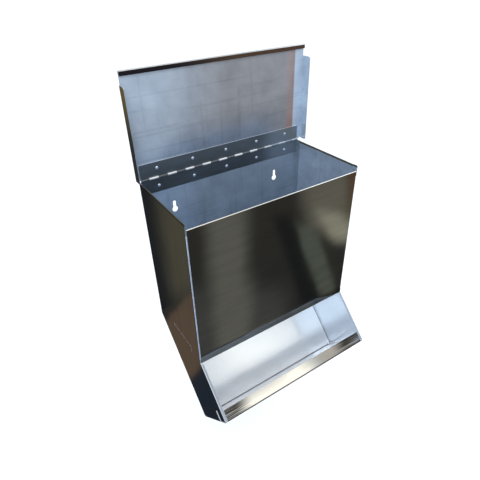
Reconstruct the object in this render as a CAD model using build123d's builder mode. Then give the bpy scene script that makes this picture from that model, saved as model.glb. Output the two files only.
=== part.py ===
from build123d import *
import math
import os

# Wall-hung gravity feeder for poultry, folded from steel sheet, with its lid standing open.
# Millimetres. +X is to the right seen from the front, -Y points out of the wall and +Z is up.
# The wall face is y = 0, and the origin lies midway between the two round keyhole entries.

# --- Driving dimensions: sheet and folds ---------------------------------------------------
sheet = 1.0               # thickness of every folded sheet
bend = 2.0                # outer radius of a folded corner
hem_gap = 0.3             # space left inside a flattened hem
hem_depth = 10.0          # how far a flattened hem turns back
weld_flange = 12.0        # width of a flange that is spot-welded to its neighbour
fold_relief = 2.0         # gap between the end of a flange and the next fold

# --- Driving dimensions: body --------------------------------------------------------------
body_width = 400.0        # over the outer faces of the two sides
hopper_depth = 195.0      # wall to the face of the front panel
back_height = 345.0       # rim down to the knee, where the back turns into the slope
slope_run = 187.0         # how far the 45 degree slope runs forward
trough_rise = 100.0       # how far the 45 degree trough wall rises to its tip
front_drop = 11.0         # the front panel stops this far below the rim
corner_reveal = 2.5       # strip of each side's fold left bare beside the front panel
rim = 80.0                # height of the rim above the keyhole entries

# --- Driving dimensions: side panels and trough --------------------------------------------
rim_hem_ends = (14.0, 11.0)   # bare rim behind and in front of each side's hem
mouth_flange = 6.0        # inward flange along the edge of the trough mouth
lip_width = 25.0          # lip of the trough wall, lying in the plane of the mouth
lip_clearance = 0.7       # between the lip's ends and the mouth flanges
tab_depth = 25.0          # trough wall tabs folded back over the outside of the sides
tab_start = 16.0          # trough fold to the lower end of a tab
tab_end = 28.0            # upper end of a tab to the tip
tab_mitre = 20.0          # corner cut from the lower end of a tab
drain_radius = 2.0        # relief hole at each end of the trough fold
slope_flange_length = 80.0    # upper part of the slope that is flanged to the sides

# --- Driving dimensions: feed baffle -------------------------------------------------------
feed_slot = 73.0          # open slot between the wall face and the baffle
shelf_drop = 322.0        # rim down to the top of the baffle's shelf
shelf_depth = 84.0        # the shelf, front to back
tongue_clearance = 0.1    # around the baffle's ends in their slots
side_clearance = 0.3      # between the baffle's inner leg and the sides

# --- Driving dimensions: keyholes ----------------------------------------------------------
keyhole_spacing = 264.0
keyhole_entry_radius = 6.5
keyhole_slot_width = 7.0
keyhole_rise = 16.5       # entry centre up to the slot's top centre

# --- Driving dimensions: lid and hinge -----------------------------------------------------
lid_overhang = 14.5       # the closed lid's front edge stands this far past the front panel
lid_side_clearance = 5.0  # between the sides and the lid's flanges
lid_flange_depth = 22.0
lid_flange_ends = (2.0, 24.0)     # bare lid between the pin axis and a flange, and in front of it
lid_corner_cut = 3.0      # corner cut from the free end of each flange
lid_front_setback = 2.0   # the front hem is this much narrower at each end than the flanges
lid_hem_thickness = 5.0   # the front hem is rolled open, not flattened
lid_hem_depth = 9.0
hinge_end_gap = 1.5       # between the hinge and the hems of the rim
pin_radius = 1.5
pin_clearance = 0.05
pin_head_radius = 2.3
pin_head_length = 0.6
leaf_sheet = 1.0
leaf_width = 32.0         # pin axis to the edge of a leaf
knuckle_pitch = 20.0
knuckle_gap = 0.3         # between neighbouring knuckles
knuckle_clearance = 0.45  # between a knuckle and the other leaf
knuckle_turn = 290.0      # degrees of sheet rolled around the pin
pin_above_rim = 3.5
rivet_spacing = 80.0
rivet_count = 5
rivet_row = 19.0          # pin axis to each row of rivets
rivet_radius = 1.6
rivet_head_radius = 3.2
rivet_head_height = 1.3
rivet_tail_radius = 2.5
rivet_clearance = 0.05

# --- Derived places ------------------------------------------------------------------------
half_width = body_width / 2
side_inner = half_width - sheet
front_y = -hopper_depth
knee_z = rim - back_height
diagonal = math.sqrt(0.5)
square_cut = sheet / diagonal     # one sheet thickness, measured along Y or Z across a 45 degree sheet
hem_radius = sheet + hem_gap / 2
hem_thickness = 2 * hem_radius


def meet(rising, falling):
    """The (y, z) point on both 45 degree lines: z - y = rising and z + y = falling."""
    return ((falling - rising) / 2, (falling + rising) / 2)


def along_45(point, distance, up=1, back=1):
    """The (y, z) point at a distance from another along a 45 degree line."""
    return (point[0] + back * distance * diagonal, point[1] + up * distance * diagonal)


slope_line = knee_z                                     # outer face of the slope
trough_line = slope_line - 2 * slope_run                # outer face of the trough wall
mouth_line = slope_line + 2 * trough_rise               # plane of the trough's mouth
mouth_z = mouth_line + front_y                          # lower edge of the front panel
front_top = rim - front_drop
trough_fold = meet(slope_line - square_cut, trough_line)
trough_tip = meet(mouth_line, trough_line)
trough_edge = trough_line + bend / diagonal             # edges stop here, clear of the wall's folds
wall_length = (trough_tip[1] - trough_fold[1]) / diagonal

bore_radius = pin_radius + pin_clearance
knuckle_radius = bore_radius + leaf_sheet
pin_y = -sheet - knuckle_radius
pin_z = rim + pin_above_rim
hinge_half = side_inner - hem_thickness + sheet - hinge_end_gap
lid_half = half_width + lid_side_clearance + sheet
lid_front_half = lid_half - lid_front_setback
lid_top = pin_z + pin_y + hopper_depth + lid_overhang

UP = (0, 0, 1)
LEFT = (-1, 0, 0)
RIGHT = (1, 0, 0)
BACK = (0, 1, 0)
FORWARD = (0, -1, 0)


def strip(*skin):
    """Section of a folded sheet in the YZ plane, with its outer face through the given points."""
    with BuildSketch(Plane.YZ) as section:
        with BuildLine():
            FilletPolyline(*skin, radius=bend)
            offset(amount=sheet, side=Side.RIGHT)
        make_face()
    return section.sketch


def folded_edge(corner, along, inward, depth):
    """Section across a sheet edge that is turned square inward; corner is its outer corner."""
    with BuildSketch(Plane(origin=corner, x_dir=inward, z_dir=along)) as section:
        with BuildLine():
            FilletPolyline((0, -2 * bend), (0, 0), (depth, 0), radius=bend)
            offset(amount=sheet, side=Side.RIGHT)
        make_face()
    return section.sketch


def hemmed_edge(corner, along, inward, depth):
    """Section across a sheet edge that is folded flat back on itself."""
    with BuildSketch(Plane(origin=corner, x_dir=inward, z_dir=along)) as section:
        with BuildLine():
            face = Line((0, -hem_thickness), (0, -hem_radius))
            roll = TangentArc(face @ 1, (hem_thickness, -hem_radius), tangent=face % 1)
            Line(roll @ 1, (hem_thickness, -depth))
            offset(amount=sheet, side=Side.RIGHT)
        make_face()
    return section.sketch


def save(builder, name):
    """Label a finished piece and write its STEP file."""
    builder.part.label = name
    export_step(builder.part, f"parts/{name}.step")
    return builder.part


os.makedirs("parts", exist_ok=True)


# --- Feed baffle: a shelf with a step down to the front panel's lower edge -------------------
shelf_z = rim - shelf_drop - sheet / 2
shelf_back = -feed_slot
riser_y = shelf_back - shelf_depth + sheet / 2
leg_z = mouth_z - sheet / 2
leg_end = front_y + hem_thickness + sheet / 2
tongue_end = leg_z + bend - sheet / 2
baffle_path = [(shelf_back, shelf_z), (riser_y, shelf_z), (riser_y, leg_z),
               (leg_end, leg_z), (leg_end, leg_z + weld_flange)]
tongue_path = [(shelf_back, shelf_z), (riser_y, shelf_z), (riser_y, tongue_end)]
slot_path = [(shelf_back + tongue_clearance, shelf_z), (riser_y, shelf_z),
             (riser_y, tongue_end - tongue_clearance)]


def centre_strip(points, thickness):
    """Section of a folded sheet in the YZ plane, with its middle through the given points."""
    with BuildSketch(Plane.YZ) as section:
        with BuildLine():
            FilletPolyline(*points, radius=bend - sheet / 2)
        trace(line_width=thickness)
    return section.sketch


with BuildPart() as feed_baffle:
    extrude(centre_strip(baffle_path, sheet), amount=side_inner - side_clearance, both=True)
    extrude(centre_strip(tongue_path, sheet), amount=half_width, both=True)
save(feed_baffle, "feed_baffle")


# --- Side panels -----------------------------------------------------------------------------
side_front = front_y + sheet
mouth_top = (side_front, mouth_line + side_front)
side_tip = meet(mouth_line, trough_edge)
side_foot = meet(slope_line, trough_edge)
flange_low = mouth_z + hem_depth + fold_relief
flange_high = front_top - hem_depth - fold_relief
mouth_start = along_45(side_tip, sheet + fold_relief)
mouth_stop = (front_y - fold_relief, mouth_line + front_y - fold_relief)
mouth_length = (mouth_stop[1] - mouth_start[1]) / diagonal
rim_hem_back, rim_hem_front = rim_hem_ends
rim_hem_length = hopper_depth - rim_hem_back - rim_hem_front

with BuildPart() as right_side:
    with BuildSketch(Plane.YZ.offset(side_inner)):
        with BuildLine():
            FilletPolyline((0, rim), (side_front, rim), mouth_top, side_tip, side_foot, (0, knee_z),
                           radius=bend, close=True)
        make_face()
        # The three folded edges start from trimmed strips.
        with Locations((-rim_hem_back - rim_hem_length / 2, rim - hem_radius / 2)):
            Rectangle(rim_hem_length, hem_radius, mode=Mode.SUBTRACT)
        with Locations((side_front + bend / 2, (flange_low + flange_high) / 2)):
            Rectangle(bend, flange_high - flange_low, mode=Mode.SUBTRACT)
        trim_middle = along_45(mouth_start, mouth_length / 2)
        with Locations(along_45(trim_middle, bend / 2, up=-1)):
            Rectangle(mouth_length, bend, rotation=45, mode=Mode.SUBTRACT)
    extrude(amount=sheet)
    extrude(hemmed_edge((half_width, front_y + rim_hem_front, rim), BACK, LEFT, hem_depth),
            amount=rim_hem_length)
    extrude(folded_edge((half_width, side_front, flange_low), UP, LEFT, weld_flange),
            amount=flange_high - flange_low)
    extrude(folded_edge((half_width, *mouth_start), (0, 1, 1), LEFT, mouth_flange),
            amount=mouth_length)
    slot = centre_strip(slot_path, sheet + 2 * tongue_clearance)
    extrude(slot, amount=half_width + sheet, both=True, mode=Mode.SUBTRACT)
save(right_side, "right_side")

with BuildPart() as left_side:
    mirror(right_side.part, about=Plane.YZ)
save(left_side, "left_side")


# --- Back and slope, one sheet with keyholes -------------------------------------------------
# Each sheet that spans the body is made as its right half and mirrored.
back_flange_low = knee_z + bend + fold_relief
back_flange_length = rim - back_flange_low
slope_start = along_45((0, knee_z), bend + fold_relief, up=-1, back=-1)
slope_stop = along_45(slope_start, slope_flange_length, up=-1, back=-1)
slope_middle = along_45(slope_start, slope_flange_length / 2, up=-1, back=-1)
side_outward = Plane.YZ.offset(side_inner - bend)
first_rivet = -rivet_spacing * (rivet_count - 1) / 2
rivet_xs = [first_rivet + rivet_spacing * index for index in range(rivet_count)]


def rivet_cutter(z, clearance):
    """Shank and sunk tail of one row of rivets set through the wall-side sheet from the front."""
    with BuildPart() as cutter:
        for x in rivet_xs:
            with BuildSketch(Plane(origin=(x, 0, z), x_dir=RIGHT, z_dir=FORWARD)) as tail:
                Circle(rivet_tail_radius + clearance)
            with BuildSketch(Plane(origin=(x, -sheet, z), x_dir=RIGHT, z_dir=FORWARD)) as neck:
                Circle(rivet_radius + clearance)
            loft([tail.sketch, neck.sketch])
            extrude(neck.sketch, amount=leaf_sheet)
    return cutter.part


with BuildPart() as back_sheet:
    extrude(strip((0, rim), (0, knee_z), side_foot), amount=side_inner)
    with BuildSketch(side_outward):
        with Locations((0, back_flange_low + back_flange_length / 2)):
            Rectangle(4 * sheet, back_flange_length)
        with Locations(slope_middle):
            Rectangle(slope_flange_length, 4 * sheet, rotation=45)
    extrude(amount=bend, mode=Mode.SUBTRACT)
    extrude(folded_edge((side_inner, 0, back_flange_low), UP, FORWARD, weld_flange),
            amount=back_flange_length)
    extrude(folded_edge((side_inner, *slope_stop), (0, 1, 1), (0, -1, 1), weld_flange),
            amount=slope_flange_length)
    with BuildSketch(Plane.XZ):
        with Locations((keyhole_spacing / 2, 0)):
            Circle(keyhole_entry_radius)
        with Locations((keyhole_spacing / 2, keyhole_rise)):
            Circle(keyhole_slot_width / 2)
        with Locations((keyhole_spacing / 2, keyhole_rise / 2)):
            Rectangle(keyhole_slot_width, keyhole_rise)
    extrude(amount=sheet, mode=Mode.SUBTRACT)
    mirror(about=Plane.YZ)
    add(rivet_cutter(pin_z - rivet_row, rivet_clearance), mode=Mode.SUBTRACT)
    with Locations((half_width - mouth_flange, *trough_fold), (mouth_flange - half_width, *trough_fold)):
        Cylinder(drain_radius, 4 * bend, mode=Mode.SUBTRACT)
save(back_sheet, "back_sheet")


# --- Front panel, hemmed along both edges ----------------------------------------------------
hem_back = front_y + hem_thickness

with BuildPart() as front_panel:
    with BuildSketch(Plane.YZ):
        with BuildLine():
            low_return = Line((hem_back, mouth_z + hem_depth), (hem_back, mouth_z + hem_radius))
            low_roll = TangentArc(low_return @ 1, (front_y, mouth_z + hem_radius), tangent=low_return % 1)
            face = Line(low_roll @ 1, (front_y, front_top - hem_radius))
            top_roll = TangentArc(face @ 1, (hem_back, front_top - hem_radius), tangent=face % 1)
            Line(top_roll @ 1, (hem_back, front_top - hem_depth))
            offset(amount=sheet, side=Side.RIGHT)
        make_face()
    extrude(amount=half_width - corner_reveal, both=True)
save(front_panel, "front_panel")


# --- Trough front: a lap under the slope, the wall, its lip and two tabs ----------------------
lap_edge = along_45(trough_fold, weld_flange)
lip_edge = along_45(trough_tip, lip_width)
tab_low = along_45(trough_fold, tab_start, back=-1)
tab_length = wall_length - tab_start - tab_end
tab_high = along_45(tab_low, tab_length, back=-1)
tab_middle = along_45(tab_low, tab_length / 2, back=-1)
tab_outer = half_width + sheet

with BuildPart() as tab:
    extrude(folded_edge((tab_outer, *tab_high), (0, 1, -1), (0, 1, 1), tab_depth), amount=tab_length)
    low_corner = tab.edges().filter_by(Axis.X).sort_by(Axis.Y)[-1]
    chamfer(low_corner, tab_mitre)

with BuildPart() as trough_front:
    extrude(strip(lap_edge, trough_fold, trough_tip, lip_edge), amount=half_width)
    # The wall stops short where a tab folds back, and the lip stops short of the mouth flanges.
    with BuildSketch(Plane.YZ.offset(tab_outer - bend)):
        with Locations(tab_middle):
            Rectangle(tab_length, 4 * sheet, rotation=-45)
    extrude(amount=bend, mode=Mode.SUBTRACT)
    with BuildSketch(Plane.YZ.offset(half_width - mouth_flange - lip_clearance)):
        with Locations(trough_tip):
            Rectangle(4 * lip_width, 2 * bend, rotation=45)
    extrude(amount=half_width, mode=Mode.SUBTRACT)
    add(tab.part)
    mirror(about=Plane.YZ)
    with Locations((half_width - mouth_flange, *trough_fold), (mouth_flange - half_width, *trough_fold)):
        Cylinder(drain_radius, 4 * bend, mode=Mode.SUBTRACT)
save(trough_front, "trough_front")


# --- Hinge: two rolled leaves and their pin --------------------------------------------------
def leaf(roll):
    """A leaf rolled over the pin (roll = 1, hanging) or under it (roll = -1, standing)."""
    plate_edge = knuckle_radius + knuckle_clearance
    cell_count = math.ceil(hinge_half / knuckle_pitch)
    with BuildPart() as part:
        with BuildSketch(Plane.YZ.offset(-hinge_half)):
            with Locations((-sheet - leaf_sheet / 2, pin_z - roll * (plate_edge + leaf_width) / 2)):
                Rectangle(leaf_sheet, leaf_width - plate_edge)
        extrude(amount=2 * hinge_half)
        for cell in range(-cell_count, cell_count):
            rolls_over = cell % 2 == 1
            if rolls_over != (roll == 1):
                continue
            low = max(cell * knuckle_pitch + knuckle_gap / 2, -hinge_half)
            high = min((cell + 1) * knuckle_pitch - knuckle_gap / 2, hinge_half)
            with BuildSketch(Plane.YZ.offset(low)):
                with BuildLine():
                    outside = CenterArc((pin_y, pin_z), knuckle_radius, 0, roll * knuckle_turn)
                    inside = CenterArc((pin_y, pin_z), bore_radius, 0, roll * knuckle_turn)
                    Line(outside @ 1, inside @ 1)
                    Line(outside @ 0, inside @ 0)
                make_face()
                with Locations((-sheet - leaf_sheet / 2, pin_z - roll * plate_edge / 2)):
                    Rectangle(leaf_sheet, plate_edge)
            extrude(amount=high - low)
        add(rivet_cutter(pin_z - roll * rivet_row, rivet_clearance), mode=Mode.SUBTRACT)
    return part


save(leaf(1), "hinge_lower_leaf")
save(leaf(-1), "hinge_upper_leaf")

with BuildPart() as hinge_pin:
    with BuildSketch(Plane.YZ.offset(-hinge_half)):
        with Locations((pin_y, pin_z)):
            Circle(pin_radius)
    extrude(amount=2 * hinge_half)
    for end in (-hinge_half - pin_head_length, hinge_half):
        with BuildSketch(Plane.YZ.offset(end)):
            with Locations((pin_y, pin_z)):
                Circle(pin_head_radius)
        extrude(amount=pin_head_length)
save(hinge_pin, "hinge_pin")


# --- Rivets: domed heads on the leaves, tails set flush in the outer sheet --------------------
dome_radius = (rivet_head_radius ** 2 + rivet_head_height ** 2) / (2 * rivet_head_height)
dome_middle = (rivet_head_radius / 2,
               dome_radius - rivet_head_height - math.sqrt(dome_radius ** 2 - rivet_head_radius ** 2 / 4))


def rivets(z):
    """One row of solid rivets through a leaf and the sheet behind it."""
    face_y = -sheet - leaf_sheet
    with BuildPart() as row:
        add(rivet_cutter(z, 0))
        for x in rivet_xs:
            with BuildSketch(Plane(origin=(x, face_y, z), x_dir=RIGHT, z_dir=(0, 0, 1))) as dome:
                with BuildLine():
                    top = Line((0, 0), (0, -rivet_head_height))
                    crown = ThreePointArc(top @ 1, dome_middle, (rivet_head_radius, 0))
                    Line(crown @ 1, top @ 0)
                make_face()
            revolve(dome.sketch, axis=Axis((x, face_y, z), (0, 1, 0)))
    return row


save(rivets(pin_z - rivet_row), "lower_rivets")
save(rivets(pin_z + rivet_row), "upper_rivets")


# --- Lid, standing open in line with the back ------------------------------------------------
lid_roll = lid_hem_thickness / 2
lid_flange_low, lid_flange_high = pin_z + lid_flange_ends[0], lid_top - lid_flange_ends[1]
lid_flange_length = lid_flange_high - lid_flange_low

with BuildPart() as lid_flange:
    lid_flange_edge = folded_edge((lid_half, 0, lid_flange_low), UP, FORWARD, lid_flange_depth)
    extrude(lid_flange_edge, amount=lid_flange_length)
    chamfer(lid_flange.edges().filter_by(Axis.X).group_by(Axis.Y)[0], lid_corner_cut)

with BuildPart() as lid:
    with BuildSketch(Plane.YZ):
        with BuildLine():
            plate = Line((0, pin_z), (0, lid_top - lid_roll))
            front = TangentArc(plate @ 1, (-lid_hem_thickness, lid_top - lid_roll), tangent=plate % 1)
            Line(front @ 1, (-lid_hem_thickness, lid_top - lid_hem_depth))
            offset(amount=sheet, side=Side.LEFT)
        make_face()
    extrude(amount=lid_front_half)
    with BuildSketch(Plane.XZ):
        with Locations((0, lid_flange_low)):
            Rectangle(lid_half - bend, lid_flange_length, align=Align.MIN)
    extrude(amount=sheet)
    with BuildSketch(Plane.XZ):
        with Locations((lid_half - bend, lid_flange_low)):
            Rectangle(bend, lid_flange_length, align=Align.MIN)
    extrude(amount=sheet, mode=Mode.SUBTRACT)
    add(lid_flange.part)
    mirror(about=Plane.YZ)
    add(rivet_cutter(pin_z + rivet_row, rivet_clearance), mode=Mode.SUBTRACT)
save(lid, "lid")

lid_drop = rim - pin_z
front_corner = math.hypot(front_y + sheet - pin_y, lid_drop)
closing = 90 + math.degrees(math.atan2(-lid_drop, pin_y - front_y - sheet)
                            + math.asin(knuckle_radius / front_corner))
print(f"pin axis y {pin_y:.3f} z {pin_z:.3f}")
print(f"the lid meets the sides' front corners at {closing:.2f} degrees")
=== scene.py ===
# %% [markdown]
# # A wall-hung poultry feeder in bare sheet steel
#
# This notebook dresses a feeder that was already built as CAD: a hopper with a hinged lid, a slope
# and a trough, all folded from thin steel sheet. The CAD holds every fold, hem, rivet and knuckle
# at its real size, so almost all of the work here is finish. Steel has hardly any colour of its
# own. What you see in it is the room, blurred by the way the sheet was rolled and handled. So the
# lesson has three parts: measure the parts, make the steels, and build a small studio worth
# reflecting.

# %% Load the frame
import math

import bpy
from mathutils import Matrix, Vector


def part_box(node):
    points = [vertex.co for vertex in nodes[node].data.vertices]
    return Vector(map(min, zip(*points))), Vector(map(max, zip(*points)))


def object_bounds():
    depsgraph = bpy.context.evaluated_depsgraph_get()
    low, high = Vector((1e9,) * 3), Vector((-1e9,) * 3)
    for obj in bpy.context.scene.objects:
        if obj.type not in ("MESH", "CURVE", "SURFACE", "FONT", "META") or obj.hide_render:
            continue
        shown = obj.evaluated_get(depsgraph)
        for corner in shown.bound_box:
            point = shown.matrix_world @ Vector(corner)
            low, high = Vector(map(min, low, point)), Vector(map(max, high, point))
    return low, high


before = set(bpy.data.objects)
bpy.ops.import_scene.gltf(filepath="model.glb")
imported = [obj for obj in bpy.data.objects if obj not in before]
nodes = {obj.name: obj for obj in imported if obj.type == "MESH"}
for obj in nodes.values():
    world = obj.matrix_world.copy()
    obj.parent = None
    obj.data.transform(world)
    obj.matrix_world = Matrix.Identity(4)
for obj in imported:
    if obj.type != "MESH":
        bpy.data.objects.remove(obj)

cad_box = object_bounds()
print("parts:", ", ".join(sorted(nodes)))

# %% [markdown]
# ## Where things are
#
# A finish that changes from the inside of a sheet to its outside, or from one end to the other,
# needs to know where the part is. Those places could be typed in, but they would be wrong as soon
# as the feeder was made wider or deeper. So we read them from the CAD boxes, and type only short
# distances, such as the depth of a hem, and shares of the width.
#
# The slope and the trough's mouth lean at 45 degrees. All over such a plane z - y has one value,
# so one number places the whole plane.

# %% Measure the parts
MM = 0.001
SHEET = 1 * MM
HALF = SHEET / 2
HALF_LEANING = HALF * math.sqrt(2)                     # half a leaning sheet, counted in z - y

side_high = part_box("right_side")[1]
panel_low, panel_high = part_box("front_panel")
back_low, back_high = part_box("back_sheet")
lid_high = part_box("lid")[1]
leaf_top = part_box("hinge_upper_leaf")[1].z
trough_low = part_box("trough_front")[0]

half_width = side_high.x
rim = side_high.z
front = panel_low.y
mouth_line = panel_low.z - front                       # z - y in the plane of the trough's mouth
slope_line = back_low.z - back_low.y - HALF_LEANING    # z - y on the underside of the slope
wall_line = trough_low.z + trough_low.y                # z + y under the trough's front wall
knee = slope_line                                      # the slope meets the wall where y is 0
print(f"half width {half_width:.3f}, front {front:.3f}, rim {rim:.3f}, knee {knee:.3f} m")

# %% [markdown]
# ## Shader maths that reads like maths
#
# A shader tree is a small program, and drawing it node by node hides what it says. The class below
# wraps one socket. Adding or multiplying two of them adds a Math node, so a mask can be written as
# `1 - wear * 0.5`. Every other node comes from the one method `node`.

# %% Wrap a socket
class Wire:
    """A socket of a node tree that takes part in sums as a number does."""

    def __init__(self, tree, socket=None):
        self.tree = tree
        self.socket = socket

    def node(self, kind, settings=None, inputs=None, out=0):
        """A new node: its settings are set first, then its inputs, each a value or a Wire."""
        made = self.tree.nodes.new(kind)
        for name, value in (settings or {}).items():
            if name == "stops":
                set_stops(made.color_ramp, value)
            else:
                setattr(made, name, value)
        for name, value in (inputs or {}).items():
            if isinstance(value, Wire):
                self.tree.links.new(value.socket, made.inputs[name])
            else:
                made.inputs[name].default_value = value
        return Wire(self.tree, made.outputs[out])

    def math(self, operation, first, second):
        """A Math node on two values, each a number or a Wire."""
        return self.node("ShaderNodeMath", {"operation": operation}, {0: first, 1: second})

    def __add__(self, other):
        return self.math("ADD", self, other)

    def __radd__(self, other):
        return self.math("ADD", other, self)

    def __sub__(self, other):
        return self.math("SUBTRACT", self, other)

    def __rsub__(self, other):
        return self.math("SUBTRACT", other, self)

    def __mul__(self, other):
        return self.math("MULTIPLY", self, other)

    def __rmul__(self, other):
        return self.math("MULTIPLY", other, self)

    def __gt__(self, other):
        return self.math("GREATER_THAN", self, other)

    def __lt__(self, other):
        return self.math("LESS_THAN", self, other)

    def __abs__(self):
        return self.math("ABSOLUTE", self, 0)

    def either(self, other):
        """1 where this mask is 1, or the other one is."""
        return self.math("MAXIMUM", self, other)

    def ramp(self, low, high, first=0.0, last=1.0):
        """Goes smoothly from first to last while this value goes from low to high."""
        return self.node("ShaderNodeMapRange", {"interpolation_type": "SMOOTHSTEP"},
                         {"Value": self, "From Min": low, "From Max": high,
                          "To Min": first, "To Max": last})

    def dot(self, direction):
        """How far this vector reaches along a direction."""
        return self.node("ShaderNodeVectorMath", {"operation": "DOT_PRODUCT"},
                         {0: self, 1: direction}, out="Value")

    def between(self, first, second):
        """The colour that this share, from 0 to 1, gives between two colours."""
        return self.node("ShaderNodeMix", {"data_type": "RGBA"},
                         {"Factor": self, "A": first, "B": second}, out="Result")

    def tint(self, share, other):
        """This colour turning into another one by a share from 0 to 1."""
        return share.between(self, other)

    def scaled(self, amount):
        """This colour made brighter or darker."""
        return self.node("ShaderNodeVectorMath", {"operation": "SCALE"},
                         {0: self, "Scale": amount}, out="Vector")


def set_stops(ramp, stops):
    """Fills a colour ramp from (position, colour) pairs."""
    while len(ramp.elements) < len(stops):
        ramp.elements.new(1.0)
    for element, (position, colour) in zip(ramp.elements, stops):
        element.position = position
        element.color = (*colour, 1.0)


print("a Wire adds its own Math nodes")

# %% [markdown]
# ## Grain, clouds and scratches
#
# Three patterns carry all of the detail. Grain is fine and long, as rollers leave it. Clouds are
# soft patches, where zinc cooled or hands wiped. Scratches are grain again, cut down to its few
# highest lines. Each could be drawn as an image, but an image has seams and one fixed size. A
# noise texture has neither, and the only difference between the three is how far a Mapping node
# stretches the space that the noise is read in.

# %% Pattern helpers
def noise(place, scale, stretch=(1, 1, 1), detail=2.0, shift=(0, 0, 0)):
    """Noise from 0 to 1. scale is about how many patches fit in a metre.

    stretch is how many times longer the patches are along each axis.
    """
    squeezed = place.node("ShaderNodeMapping", {"vector_type": "POINT"},
                          {"Vector": place, "Location": shift,
                           "Scale": tuple(1 / length for length in stretch)})
    return place.node("ShaderNodeTexNoise", {"noise_dimensions": "3D"},
                      {"Vector": squeezed, "Scale": scale, "Detail": detail, "Roughness": 0.55})


def longer(length, axis):
    """A stretch along one axis, "x", "y" or "z"."""
    return tuple(length if name == axis else 1 for name in "xyz")


def scratches(place):
    """Thin lines where the sheet was slid along a bench, some across it and some up it."""
    across = noise(place, 130, longer(40, "x"), detail=1).ramp(0.59, 0.68)
    upward = noise(place, 120, longer(36, "z"), detail=1, shift=(1, 5, 2)).ramp(0.59, 0.68)
    return across.either(upward)


def bump(height, strength, distance, normal=None):
    """A normal that makes a height pattern stand up by a distance in metres."""
    inputs = {"Height": height, "Strength": strength, "Distance": distance}
    if normal is not None:
        inputs["Normal"] = normal
    return height.node("ShaderNodeBump", None, inputs, out="Normal")


def new_material(name):
    """A material, its Principled node, and the Object coordinates that its patterns read."""
    material = bpy.data.materials.new(name)
    material.use_nodes = True
    tree = material.node_tree
    place = Wire(tree).node("ShaderNodeTexCoord", out="Object")
    return material, tree.nodes["Principled BSDF"], place


def plug(shader, **values):
    """Sets or links sockets of a shader, named with underscores for spaces."""
    for name, value in values.items():
        socket = shader.inputs[name.replace("_", " ")]
        if isinstance(value, Wire):
            value.tree.links.new(value.socket, socket)
        else:
            socket.default_value = value


print("patterns ready")

# %% [markdown]
# ## One sheet, two faces
#
# The outside of the sheet is bright and smooth, and mirrors the room. The inside is duller and
# bluer, and hazes whatever it mirrors. The two faces could be two materials on two sets of faces,
# but the CAD mesh is loose triangles and is left alone. So each sheet gets one shader, and a mask
# says which face a point is on. A sheet is a millimetre thick, so the mask only asks on which side
# of the sheet's middle the point lies.

# %% Bright faces
RIGHT, BACK, UP = (1, 0, 0), (0, 1, 0), (0, 0, 1)
UP_FRONT, UP_BACK = (0, -1, 1), (0, 1, 1)
LID_HEM = 10 * MM          # depth of the rolled hem along the lid's free edge


def in_mouth(place):
    """The flanges and the lip, which lie in the plane of the trough's mouth."""
    return place.dot(UP_FRONT) > mouth_line - HALF_LEANING


def below_panel(place):
    """Lower than the front panel's foot, where the mouth is open."""
    return place.dot(UP) < panel_low.z


def on_side(place):
    """The outer skin, and the flange along the mouth."""
    skin = abs(place.dot(RIGHT)) > half_width - HALF
    return skin.either(in_mouth(place) * below_panel(place))


def on_back(place):
    """The face toward the wall, and the underside of the slope."""
    upright = place.dot(BACK) > -HALF
    sloping = place.dot(UP_FRONT) < slope_line + HALF_LEANING
    return upright.either(sloping)


def on_panel(place):
    """The face toward the front."""
    return place.dot(BACK) < front + HALF


def on_trough(place):
    """The wall's underside, the lip over it and the tab round each side."""
    under = place.dot(UP_BACK) < wall_line + SHEET
    tab = abs(place.dot(RIGHT)) > half_width
    return under.either(in_mouth(place)).either(tab)


def on_lid(place):
    """The lid's face toward the wall, its flanges' outer skins and the face of its hem."""
    back = place.dot(BACK) > -HALF
    flange = abs(place.dot(RIGHT)) > lid_high.x - HALF
    hem = (place.dot(UP) > lid_high.z - LID_HEM) * (place.dot(BACK) < -3.5 * MM)
    return back.either(flange).either(hem)


def nowhere(place):
    """The shelf is hidden in the hopper, and both of its faces are dull."""
    return place.dot(UP) > lid_high.z


print("every sheet but the shelf has a bright face")

# %% [markdown]
# ## Where the dull face changes
#
# The inside of a feeder is not one colour. The trough is unscratched and painted pale, a painted
# sheen of the sky that it faces, and the hopper is painted darker, a painted shade. The lid
# carries a painted reflection of the dark hopper toward its hinge, painted warm and red
# reflections toward its right end, and a pale strip of painted sky light by its right fold. Each
# change could be painted on a texture by hand. Here each is a soft mask made from Object
# coordinates, because it then stays on the sheet when the lid turns.

# %% Tints of the dull face
def across(place, start, stop, first=0.0, last=1.0):
    """A change between two places across the feeder, counted in half widths from its middle."""
    return place.dot(RIGHT).ramp(start * half_width, stop * half_width, first, last)


def in_trough(place):
    """Below the hopper, where the dull face is unscratched and painted pale, a painted sheen of
    the sky.
    """
    return place.dot(UP).ramp(panel_low.z - 30 * MM, panel_low.z, 1, 0)


def in_hopper(place):
    return 1 - in_trough(place)


def hopper_left(place):
    """The left end of the hopper's back, which is bluer."""
    return in_hopper(place) * across(place, -0.8, -0.2, 0.8, 0)


def warm_reflection(place):
    """The lid's inside, painted greyer and warmer from its middle to its right end, a painted
    reflection of warm surroundings.
    """
    return across(place, -0.85, 0.1)


def hopper_reflection(place):
    """The lid's lower part, most of all its middle, painted darker as a painted reflection of the
    hopper.
    """
    middle = abs(place.dot(RIGHT)).ramp(0.4 * half_width, 0.85 * half_width, 0.65, 0.15)
    return middle * place.dot(UP).ramp(leaf_top + 10 * MM, leaf_top + 70 * MM, 1, 0)


def lid_end_sky_light(place):
    """The strip beside the right fold of the lid, and the flange behind it, painted pale blue as
    painted sky light.
    """
    return place.dot(RIGHT).ramp(lid_high.x - 26 * MM, lid_high.x - 22 * MM)


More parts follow.
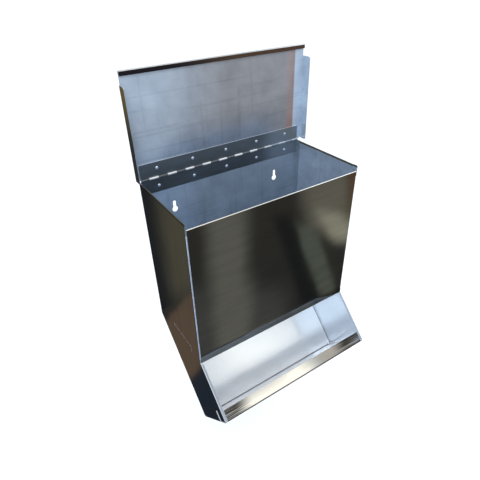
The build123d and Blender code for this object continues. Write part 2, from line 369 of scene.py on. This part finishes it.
def red_reflection(place):
    """A painted reflection of something red, a reddish stripe just inside that strip, stronger
    toward the hinge.
    """
    stripe = abs(place.dot(RIGHT) - (lid_high.x - 30 * MM)).ramp(3 * MM, 22 * MM, 1, 0)
    return stripe * place.dot(UP).ramp(leaf_top, leaf_top + 80 * MM, 0.9, 0.5)


print("the trough is pale up to", round(panel_low.z, 3), "m")

# %% [markdown]
# ## Marks that cross both faces
#
# Edges are where a folded sheet shows its making, and where light and shade are painted. A bright
# edge is a painted highlight, the dark roll of a hem and the dark line of a fold are painted
# shade, and edges that face the dark ground carry a painted dark reflection. These are narrower
# than the tints and lie on both faces, so they come last, over everything else. Most are hard
# masks, a millimetre or a few wide.

# %% Edge marks
def hem_shade(place):
    """The face of the lid's rolled hem, below its top line, painted dark as painted shade."""
    height = place.dot(UP)
    band = (height > lid_high.z - LID_HEM) * (height < lid_high.z - 1.5 * MM)
    return band * (place.dot(BACK) < -2.5 * MM)


def hem_shade_right(place):
    """The same painted shade toward its right end, where it is browner."""
    return hem_shade(place) * across(place, -0.6, 0.3)


def rim_edge(place):
    """The top of the sides' hems."""
    return place.dot(UP) > rim - 4 * MM


def painted_back_reflection(place):
    """The outer skin of the left side beside the wall, above the knee, painted dark blue as a
    painted reflection of dark ground.
    """
    skin = place.dot(RIGHT) < HALF - half_width
    beside_wall = place.dot(BACK).ramp(-130 * MM, -20 * MM, 0, 0.9)
    return skin * beside_wall * place.dot(UP_BACK).ramp(knee, knee + 10 * MM)


def mouth_flange(place):
    """The sides' flanges along the mouth, a shade greyer than their skins."""
    inside = abs(place.dot(RIGHT)) < half_width - SHEET
    return in_mouth(place) * below_panel(place) * inside


def slope_end_shade(place):
    """The sheared lower end of the slope, painted as a dark line of shade in the trough's fold."""
    return place.dot(UP) < back_low.z + 1.2 * MM


def slope_corner_shade(place):
    """A painted dark line of shade in the fold between the slope and the flange at each end of it.
    """
    aside = abs(place.dot(RIGHT))
    line = (aside > back_high.x - 2.8 * MM) * (aside < back_high.x - 1.1 * MM)
    return line * in_trough(place)


def lip_ends(place):
    """Fine dark lines at both ends of the trough's lip."""
    lines = noise(place, 420, longer(40, "x"), detail=2).ramp(0.34, 0.58, 0.3, 1)
    ends = abs(place.dot(RIGHT) + 10 * MM).ramp(0.55 * half_width, 0.8 * half_width)
    return in_mouth(place) * lines * ends


def lip_edge_dark_reflection(place):
    """The front edge of the trough's lip, painted dark as a painted reflection of the dark ground
    below.
    """
    return place.dot(BACK) < trough_low.y + 1.3 * MM


def panel_foot_reflection(place):
    """The foot of the front panel, painted dark grey-brown as a painted reflection, stronger
    toward its right end.
    """
    foot = place.dot(UP).ramp(panel_low.z + 6 * MM, panel_low.z + 30 * MM, 1, 0)
    return foot * across(place, -0.65, 0.5, 0.15, 0.85)


def panel_edge_highlight(place):
    """The top of the front panel's hem, a painted highlight."""
    return place.dot(UP) > panel_high.z - 1.4 * MM


print("the lid's hem is", round(LID_HEM / MM), "mm deep")

# %% [markdown]
# ## The sheet steel
#
# Galvanised and stainless sheet are both nearly pure mirrors with a fine grain, so the shader is a
# metal whose roughness does most of the work. The bright face is almost clear, with faint long
# streaks. The dull face has cloudy colour and a cloudy haze, and isn't fully metallic, because
# dust and an oxide skin scatter part of the light. A slow wave in the normal bends every
# reflection a little, as thin sheet always does between its folds. The wave could be modelled, but
# a Bump node bends a reflection just as well and leaves the CAD mesh alone.

# %% Steel
INSIDE_COLOUR = (0.62, 0.72, 0.84, 1)
OUTSIDE_COLOUR = (0.66, 0.65, 0.62, 1)
STREAK_COLOUR = (0.60, 0.59, 0.56, 1)
# LIT_TROUGH is painted light: the trough is painted pale where it mirrors the bright sky.
LIT_TROUGH = (0.90, 0.91, 0.92, 1)
GRAIN_LENGTH = 40          # how many times longer than wide a line of grain is
STREAK_LENGTH = 6          # and a streak
SCRATCH_SHADE = 0.09       # how much darker a scratch is


def steel(name, is_outside, grain_axis, trough_lit_colour=LIT_TROUGH, inner=(), marks=()):
    """The feeder's sheet steel. is_outside(place) is 1 on the bright face and 0 on the dull one.

    Grain runs along grain_axis, and trough_lit_colour is the dull face's colour below the hopper,
    a painted sheen.
    inner tints the dull face and marks tint both, each a list of (where(place), colour).
    """
    material, shader, place = new_material(name)
    outside = is_outside(place)
    stored = in_hopper(place)
    grain = noise(place, 900, longer(GRAIN_LENGTH, grain_axis), detail=3)
    streaks = noise(place, 60, longer(STREAK_LENGTH, grain_axis), detail=4)
    clouds = noise(place, 22, detail=5, shift=(3, 1, 2))
    waves = noise(place, 7, detail=1)

    # Painted light: below the hopper the dull face turns to the pale trough colour.
    dull = in_trough(place).between(INSIDE_COLOUR, trough_lit_colour)
    for where, tint in inner:
        dull = dull.tint(where(place), tint)
    cloud_shade = (clouds - 0.5) * (0.2 + 0.5 * stored)
    dull = dull.scaled(1 + cloud_shade - scratches(place) * stored * SCRATCH_SHADE)
    bright = streaks.ramp(0.35, 0.70).between(OUTSIDE_COLOUR, STREAK_COLOUR)
    colour = dull.tint(outside, bright)
    for where, tint in marks:
        colour = colour.tint(where(place), tint)

    dull_haze = 0.15 + 0.10 * clouds
    bright_haze = 0.05 + 0.03 * streaks
    plug(shader, Base_Color=colour, Metallic=0.58 + 0.42 * outside,
         Roughness=dull_haze * (1 - outside) + bright_haze * outside,
         Normal=bump(waves, 0.20, 3 * MM, bump(grain, 0.04, 0.2 * MM)))
    return material


print("steel ready")

# %% [markdown]
# ## A finish for each sheet
#
# Each sheet was cut from the coil in its own direction, so its grain runs along x or along z. The
# two sides are mirror images and share one finish. The rest is a list of tints: every line below
# names a place and the colour that the steel turns to there.

# %% Sheet finishes
finishes = {
    # The sides' trough colour is painted light, pale where they mirror the bright slope.
    "left_side": steel("side_steel", on_side, "z", (0.72, 0.81, 0.93, 1), marks=[
        # A painted dark reflection on the left side's skin beside the wall.
        (painted_back_reflection, (0.11, 0.16, 0.29, 1)),
        (mouth_flange, (0.46, 0.49, 0.55, 1)),
        (rim_edge, (0.13, 0.12, 0.085, 1)),
    ]),
    "back_sheet": steel("back_steel", on_back, "x", inner=[
        # Painted shade: the hopper's inside is painted darker, deep in the box.
        (in_hopper, (0.40, 0.48, 0.57, 1)),
        (hopper_left, (0.54, 0.68, 0.86, 1)),
    ], marks=[
        # Painted shade along the trough's fold.
        (slope_end_shade, (0.03, 0.03, 0.04, 1)),
        # Painted shade in the fold at each end of the slope.
        (slope_corner_shade, (0.03, 0.04, 0.06, 1)),
    ]),
    "front_panel": steel("panel_steel", on_panel, "x", marks=[
        # A painted dark reflection at the front panel's foot.
        (panel_foot_reflection, (0.23, 0.19, 0.14, 1)),
        # A painted highlight along the top of the front panel's hem.
        (panel_edge_highlight, (0.95, 0.90, 0.80, 1)),
    ]),
    "trough_front": steel("trough_steel", on_trough, "x", marks=[
        (lip_ends, (0.05, 0.045, 0.04, 1)),
        # A painted dark reflection along the lip's front edge.
        (lip_edge_dark_reflection, (0.06, 0.055, 0.05, 1)),
    ]),
    "feed_baffle": steel("baffle_steel", nowhere, "x"),
    "lid": steel("lid_steel", on_lid, "z", inner=[
        # A painted warm reflection on the lid's right half.
        (warm_reflection, (0.42, 0.42, 0.44, 1)),
        # A painted reflection of the dark hopper on the lid's lower part.
        (hopper_reflection, (0.24, 0.31, 0.42, 1)),
        # A painted red reflection beside the lid's right fold.
        (red_reflection, (0.52, 0.33, 0.30, 1)),
        # Painted pale blue sky light beside the lid's right fold.
        (lid_end_sky_light, (0.72, 0.84, 0.98, 1)),
    ], marks=[
        # Painted shade on the face of the lid's hem, browner toward its right end.
        (hem_shade, (0.04, 0.035, 0.04, 1)),
        (hem_shade_right, (0.20, 0.12, 0.08, 1)),
    ]),
}
finishes["right_side"] = finishes["left_side"]
for name, material in finishes.items():
    print(name, "has", len(material.node_tree.nodes), "shader nodes")

# %% [markdown]
# ## The hinge
#
# A piano hinge is rolled from its own strip, a darker steel than the body, and set with rivets.
# Its knuckles are partly worn bright where they rub, and the lower leaf's carry a painted
# highlight along the pin. They could share the leaf's colour, but then the line of the pin would
# be lost. So the part that stands proud of the flat leaf gets a colour of its own: a painted
# highlight on the lower leaf, and a dark colour close to the leaf's own on the upper leaf.

# %% Hinge steel
KNUCKLE_FACE = -2.1 * MM          # only the knuckles stand further forward than this
LEAF_DARK, LEAF_LIGHT = (0.16, 0.18, 0.19, 1), (0.22, 0.25, 0.27, 1)
LEAF_END = (0.45, 0.52, 0.60, 1)
# EDGE_HIGHLIGHT is a painted highlight on the top edge of the upper leaf.
EDGE_HIGHLIGHT = (0.95, 0.95, 0.95, 1)


def hinge_steel(name, knuckle_colour_and_highlight):
    material, shader, place = new_material(name)
    grain = noise(place, 700, longer(30, "x"), detail=3)
    clouds = noise(place, 30, longer(4, "x"), detail=3)
    colour = clouds.ramp(0.3, 0.7).between(LEAF_DARK, LEAF_LIGHT)
    colour = colour.scaled(place.dot(UP).ramp(rim - 10 * MM, rim + 10 * MM, 0.75, 1.0))
    colour = colour.tint(across(place, 0.4, 0.7, 0, 0.6), LEAF_END)
    knuckles = place.dot(BACK) < KNUCKLE_FACE
    # The knuckles' colour: a painted highlight on the lower leaf, weaker toward the right end.
    colour = colour.tint(knuckles * across(place, 0.2, 0.7, 1, 0.3), knuckle_colour_and_highlight)
    # A painted highlight along the top edge of the upper leaf.
    colour = colour.tint(place.dot(UP) > leaf_top - 0.4 * MM, EDGE_HIGHLIGHT)
    plug(shader, Base_Color=colour, Metallic=0.85, Roughness=0.28 + 0.10 * grain,
         Normal=bump(grain, 0.12, 0.2 * MM))
    return material


def rivet_steel():
    material, shader, place = new_material("rivet_steel")
    clouds = noise(place, 300, detail=2)
    plug(shader, Base_Color=(0.62, 0.72, 0.82, 1), Metallic=0.75, Roughness=0.30 + 0.2 * clouds,
         Normal=bump(clouds, 0.1, 0.3 * MM))
    return material


def pin_steel():
    material, shader, place = new_material("pin_steel")
    grain = noise(place, 800, longer(20, "x"), detail=2)
    plug(shader, Base_Color=(0.70, 0.70, 0.70, 1), Metallic=1.0, Roughness=0.2 + 0.2 * grain,
         Normal=bump(grain, 0.1, 0.1 * MM))
    return material


# The lower leaf's knuckles carry a painted highlight, the upper leaf's a dark colour close to the
# leaf's own.
finishes["hinge_lower_leaf"] = hinge_steel("lower_leaf_steel", (0.95, 0.93, 0.90, 1))
finishes["hinge_upper_leaf"] = hinge_steel("upper_leaf_steel", (0.16, 0.17, 0.18, 1))
finishes["lower_rivets"] = rivet_steel()
finishes["upper_rivets"] = finishes["lower_rivets"]
finishes["hinge_pin"] = pin_steel()
print("finishes:", len(finishes))

# %% [markdown]
# ## Putting the finishes on
#
# A CAD part keeps its mesh and its place, and only its material slot is filled anew.

# %% Dress the parts
for name, material in finishes.items():
    nodes[name].data.materials.clear()
    nodes[name].data.materials.append(material)
print("dressed", len(finishes), "of", len(nodes), "parts")

# %% [markdown]
# ## The floor
#
# The feeder hangs on a wall, a quarter of a metre above a pale floor. The floor could be a curved
# sheet of paper that also makes the backdrop, but the world below gives the backdrop, so one flat
# plane will do. It glows a little, as white paper under studio light seems to, and the steel
# doesn't mirror it: what the steel mirrors is the room.

# %% Floor
FLOOR_DROP = 0.25          # metres below the feeder's lowest point
FLOOR_SIZE = 60            # far enough that its edge is never seen


def floor_paint():
    material, shader, _ = new_material("floor_paint")
    plug(shader, Base_Color=(0.94, 0.94, 0.94, 1), Roughness=0.9, Specular_IOR_Level=0.0,
         Emission_Color=(1, 1, 1, 1), Emission_Strength=0.15)
    return material


bpy.ops.mesh.primitive_plane_add(size=FLOOR_SIZE, location=(0, 0, cad_box[0].z - FLOOR_DROP))
floor = bpy.context.object
floor.name = "floor"
floor.data.materials.append(floor_paint())
floor.visible_glossy = False
print("floor at", round(floor.location.z, 3))

# %% [markdown]
# ## A room to reflect
#
# Upright sheets seen from above mirror the ground in front of them. Sheets that lean back mirror
# the sky. So the world is dark below the horizon and bright above it, with a white backdrop that
# only the camera sees. That alone would give each sheet one even shade. Real sheet shows doors,
# paths and lit walls as soft shapes, so patches of light are laid over the ramp. They could be
# cards standing in the scene, but cards would cast shadows and get in the way of other views.

# %% Patches of the room
def glow(azimuth, elevation, centre, half, soft, slant=0.0, tilt=0.0):
    """1 inside a patch of the room and 0 outside it.

    Its centre, half size and soft rim are in degrees. slant leans its upright edges over, and tilt
    its level ones.
    """
    above = elevation - centre[1] - (azimuth - centre[0]) * tilt
    beside = abs(azimuth - centre[0] - above * slant)
    return (beside.ramp(half[0], half[0] + soft[0], 1, 0)
            * abs(above).ramp(half[1], half[1] + soft[1], 1, 0))


# Each patch: centre, half size and soft rim as (azimuth from +Y towards +X, elevation), then slant
# and tilt, and its colour. Later ones lie over earlier ones.
PATCHES = [
    # Ground before the feeder, which the front panel mirrors.
    ((149, -48), (7, 5), (5, 5), (0, 0), (0.065, 0.068, 0.065)),
    ((149.7, -38), (1.5, 9), (3.6, 6), (0, 0), (0.135, 0.137, 0.122)),
    ((137.3, -37), (1.2, 5), (1.8, 3), (0.5, 0), (0.014, 0.015, 0.016)),
    ((134, -28), (2, 3), (3.5, 3), (0.3, 0), (0.150, 0.145, 0.120)),
    ((132.3, -31.3), (0.8, 0.8), (2.2, 2), (0.6, 0), (0.33, 0.33, 0.26)),
    ((134.7, -36.3), (1.2, 3.5), (0.6, 2.5), (0.55, 0), (0.095, 0.110, 0.092)),
    ((129.4, -27), (0.8, 3.5), (1.5, 2.5), (0.2, 0), (0.110, 0.066, 0.040)),
    # Brown and olive ground to the left and behind, under blue haze, for the left side.
    ((-21.5, -46.3), (14, 4.4), (4, 1.0), (0, -0.6), (0.115, 0.082, 0.060)),
    ((-24, -32), (2.5, 6), (4, 5), (0, 0), (0.085, 0.080, 0.058)),
    ((-19, -10), (8, 3), (4, 6), (0, 0), (0.16, 0.12, 0.05)),
    ((-41, -8), (8, 12), (4, 6), (0, 0), (0.70, 0.82, 1.05)),
    # Ground that the hopper's inside corner mirrors by two bounces, and a band near the horizon.
    ((-122, -40), (25, 18), (8, 8), (0, 0), (0.42, 0.46, 0.64)),
    ((151, -11), (14, 5), (3, 3.5), (0, 0), (0.34, 0.37, 0.41)),
    # Sky and lamps over the ground, for the slope and the trough's lip.
    ((155.5, 35), (6.5, 10), (3.5, 5), (0, 0), (0.80, 0.83, 0.83)),
    ((154.5, 34.8), (2.8, 1.0), (2.0, 1.8), (0.5, 0.3), (2.6, 2.6, 2.5)),
    ((149.5, 32.4), (0.8, 0.6), (1.5, 1.5), (0.5, 0.3), (2.4, 2.4, 2.3)),
    ((154.8, 25.5), (4.3, 2), (2.5, 2), (0, 0.1), (1.80, 1.76, 1.62)),
    ((145, 24.5), (2, 2.5), (1.5, 1.5), (0, 0), (0.60, 0.58, 0.54)),
    # Bright sky to the left, which the trough's right side mirrors by way of the slope.
    ((-142, 38), (15, 15), (10, 10), (0, 0), (1.7, 1.85, 1.95)),
]
print("patches of room:", len(PATCHES))

# %% World
ROOM_STOPS = [                      # from straight down, 0, to straight up, 1
    (0.00, (0.012, 0.015, 0.022)),
    (0.20, (0.018, 0.025, 0.040)),
    (0.26, (0.028, 0.029, 0.028)),
    (0.34, (0.034, 0.033, 0.030)),
    (0.39, (0.040, 0.040, 0.038)),
    (0.45, (0.10, 0.10, 0.10)),
    (0.50, (0.45, 0.48, 0.52)),
    (0.58, (0.70, 0.78, 0.90)),
    (0.67, (0.82, 0.96, 1.12)),
    (0.85, (1.0, 1.0, 1.02)),
]
WHITE = (1, 1, 1, 1)
STRAIGHT_ANGLE = 180                # degrees from straight down to straight up


def build_world():
    world = bpy.data.worlds.new("studio")
    bpy.context.scene.world = world
    world.use_nodes = True
    tree = world.node_tree
    direction = Wire(tree).node("ShaderNodeTexCoord", out="Generated")
    degrees = math.degrees(1)
    up = direction.dot(UP)
    elevation = up.math("ARCSINE", up, 0) * degrees
    azimuth = up.math("ARCTAN2", direction.dot(RIGHT), direction.dot(BACK)) * degrees
    room = up.node("ShaderNodeValToRGB", {"stops": ROOM_STOPS},
                   {"Fac": elevation * (1 / STRAIGHT_ANGLE) + 0.5}, out="Color")
    for centre, half, soft, lean, colour in PATCHES:
        room = room.tint(glow(azimuth, elevation, centre, half, soft, *lean), (*colour, 1))
    seen_directly = room.node("ShaderNodeLightPath", out="Is Camera Ray")
    plug(tree.nodes["Background"], Color=room.tint(seen_directly, WHITE), Strength=1.0)


build_world()
print("stops from ground to sky:", len(ROOM_STOPS))

# %% [markdown]
# ## Soft light
#
# The room already lights the feeder from all round. Two large soft boxes add a direction to it: a
# warm key from the front left and a weaker cool fill from the right. Small lamps or a sun would
# give hard hot spots on metal, and a large box gives a wide gentle one. The boxes are aimed at the
# middle of the feeder.

# %% Lights
MIDDLE = Vector((0, -0.1, -0.1))


def soft_light(name, spot, size, power, colour):
    """A square soft box at a spot, turned to face the middle of the feeder."""
    data = bpy.data.lights.new(name, "AREA")
    data.size = size
    data.energy = power
    data.color = colour
    light = bpy.data.objects.new(name, data)
    bpy.context.scene.collection.objects.link(light)
    light.location = spot
    light.rotation_mode = "QUATERNION"
    light.rotation_quaternion = (MIDDLE - Vector(spot)).to_track_quat("-Z", "Y")


soft_light("key", (-0.9, -1.6, 2.0), 1.2, 14, (1.0, 0.99, 0.97))
soft_light("fill", (1.8, -0.8, 1.4), 1.0, 6, (0.9, 0.95, 1.0))
print("lights:", len(bpy.data.lights))

# %% [markdown]
# ## The camera
#
# It stands about a metre from the feeder, above it and to its left, and is held very slightly
# tilted. A Track To constraint would aim it, but it can't give that tilt, so its turn is built
# from a heading, a pitch and a roll. The plain Standard view keeps white white.

# %% Camera
EYE = (-0.4331, -0.7332, 0.4337)
HEADING, PITCH, ROLL = (math.radians(angle) for angle in (32.27, 33.65, -1.78))

camera_data = bpy.data.cameras.new("camera")
camera_data.lens = 31.16
camera_data.sensor_width = 36
camera = bpy.data.objects.new("camera", camera_data)
bpy.context.scene.collection.objects.link(camera)
camera.matrix_world = (Matrix.Translation(EYE)
                       @ Matrix.Rotation(-HEADING, 4, "Z")
                       @ Matrix.Rotation(math.pi / 2 - PITCH, 4, "X")
                       @ Matrix.Rotation(ROLL, 4, "Z"))
bpy.context.scene.camera = camera
bpy.context.scene.view_settings.view_transform = "Standard"
print("camera at", [round(c, 3) for c in EYE])

# %% [markdown]
# ## Sizes, and the end
#
# A finish must never change a size. The CAD box was kept right after loading.

# %% Sizes, and the end
print("the end")
